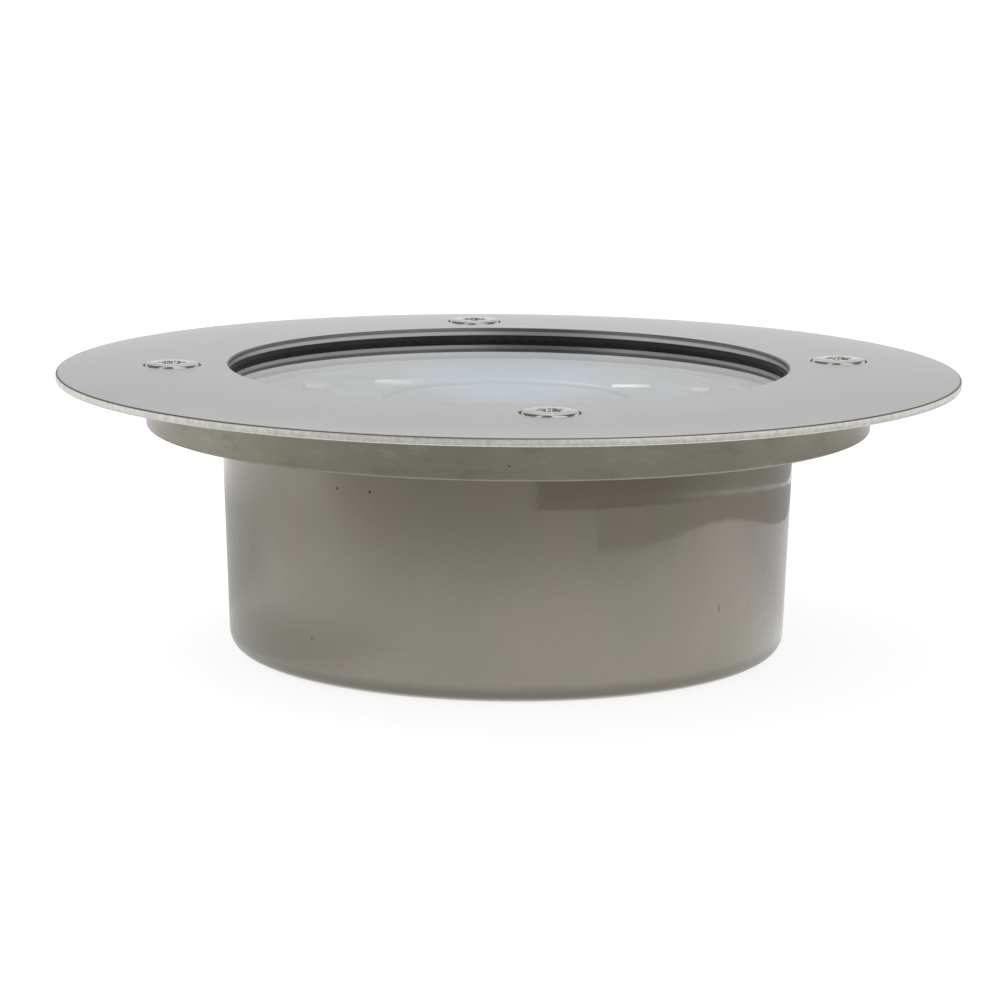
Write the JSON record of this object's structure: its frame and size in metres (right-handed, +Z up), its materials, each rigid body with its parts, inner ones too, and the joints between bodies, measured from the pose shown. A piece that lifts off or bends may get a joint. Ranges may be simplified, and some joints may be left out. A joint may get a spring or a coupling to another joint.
{
  "type": "in ground well light",
  "caption": "Round recessed ground light: a dished steel plate with a glass window, held by countersunk screws on the flange of a cast can, with a cable gland.",
  "frame": {"origin": "middle of the flat bottom of the can", "axes": "+Z up out of the glass, the front seen in the picture towards -Y, the cable gland towards +Y"},
  "size_m": [0.15, 0.15, 0.0483],
  "materials": {
    "plate_steel": "satin stainless steel",
    "screw_steel": "polished stainless steel",
    "housing_alloy": "satin cast alloy with a warm grey nickel finish",
    "flange_alloy": "turned, with a warm grey nickel finish",
    "black_rubber": "soft matt rubber",
    "glass": "clear toughened glass",
    "trim_paint": "satin pale paint",
    "small_screw_steel": "zinc plated",
    "bezel_chrome": "polished",
    "diffuser_plastic": "opal",
    "reflector_alloy": "bright",
    "phosphor": "glossy gel",
    "white_board": "white solder mask",
    "pad_rubber": "soft grey pad",
    "black_alloy": "black anodised",
    "zinc_steel": "zinc plated sheet",
    "green_board": "green solder mask",
    "transformer_tape": "yellow tape over the winding",
    "capacitor_sleeve": "dark sleeve",
    "ferrite": "matt ferrite",
    "chip_plastic": "moulded",
    "terminal_plastic": "moulded",
    "lead_white": "silicone sleeve",
    "lead_green": "insulation",
    "tag_brass": "tinned brass",
    "gland_brass": "nickel plated brass"
  },
  "bodies": {
    "housing": {"housing": "housing_alloy", "seat_flange": "flange_alloy", "inner_trim": "trim_paint", "trim_screws": "small_screw_steel", "lamp_bezel": "bezel_chrome", "lamp_diffuser": "diffuser_plastic", "lamp_reflector": "reflector_alloy", "led_emitter": "phosphor", "led_board": "white_board", "led_board_screws": "small_screw_steel", "thermal_pad": "pad_rubber", "heat_sink": "black_alloy", "carrier_strap": "zinc_steel", "carrier_screws": "small_screw_steel", "driver_board": "green_board", "driver_board_screws": "small_screw_steel", "driver_transformer": "transformer_tape", "driver_capacitors": "capacitor_sleeve", "driver_choke": "ferrite", "driver_parts": "chip_plastic", "terminal_block": "terminal_plastic", "terminal_screws": "small_screw_steel", "lamp_leads": "lead_white", "earth_lead": "lead_green", "earth_tag": "tag_brass", "earth_screw": "small_screw_steel", "gland_body": "gland_brass", "gland_washer": "black_rubber", "gland_locknut": "gland_brass", "gland_seal": "black_rubber"},
    "face": {"face_plate": "plate_steel", "glass_seal": "black_rubber", "glass_lens": "glass"},
    "right_screw": {"face_screw_right": "screw_steel"},
    "back_screw": {"face_screw_back": "screw_steel"},
    "left_screw": {"face_screw_left": "screw_steel"},
    "front_screw": {"face_screw_front": "screw_steel"},
    "clamp_nut": {"gland_nut": "gland_brass"}
  },
  "joints": [
    {"name": "face_lift", "type": "slide", "parent": "housing", "child": "face", "axis": [0, 0, 1], "range_m": [0, 0.06]},
    {"name": "right_screw_turn", "type": "hinge", "parent": "face", "child": "right_screw", "pos_m": [0.05554, 0.00633, 0.0477], "axis": [0, 0, 1], "continuous": true},
    {"name": "back_screw_turn", "type": "hinge", "parent": "face", "child": "back_screw", "pos_m": [-0.00633, 0.05554, 0.0477], "axis": [0, 0, 1], "continuous": true},
    {"name": "left_screw_turn", "type": "hinge", "parent": "face", "child": "left_screw", "pos_m": [-0.05554, -0.00633, 0.0477], "axis": [0, 0, 1], "continuous": true},
    {"name": "front_screw_turn", "type": "hinge", "parent": "face", "child": "front_screw", "pos_m": [0.00633, -0.05554, 0.0477], "axis": [0, 0, 1], "continuous": true},
    {"name": "clamp_nut_turn", "type": "hinge", "parent": "housing", "child": "clamp_nut", "pos_m": [0, 0.05813, 0.0205], "axis": [0, 1, 0], "continuous": true}
  ]
}
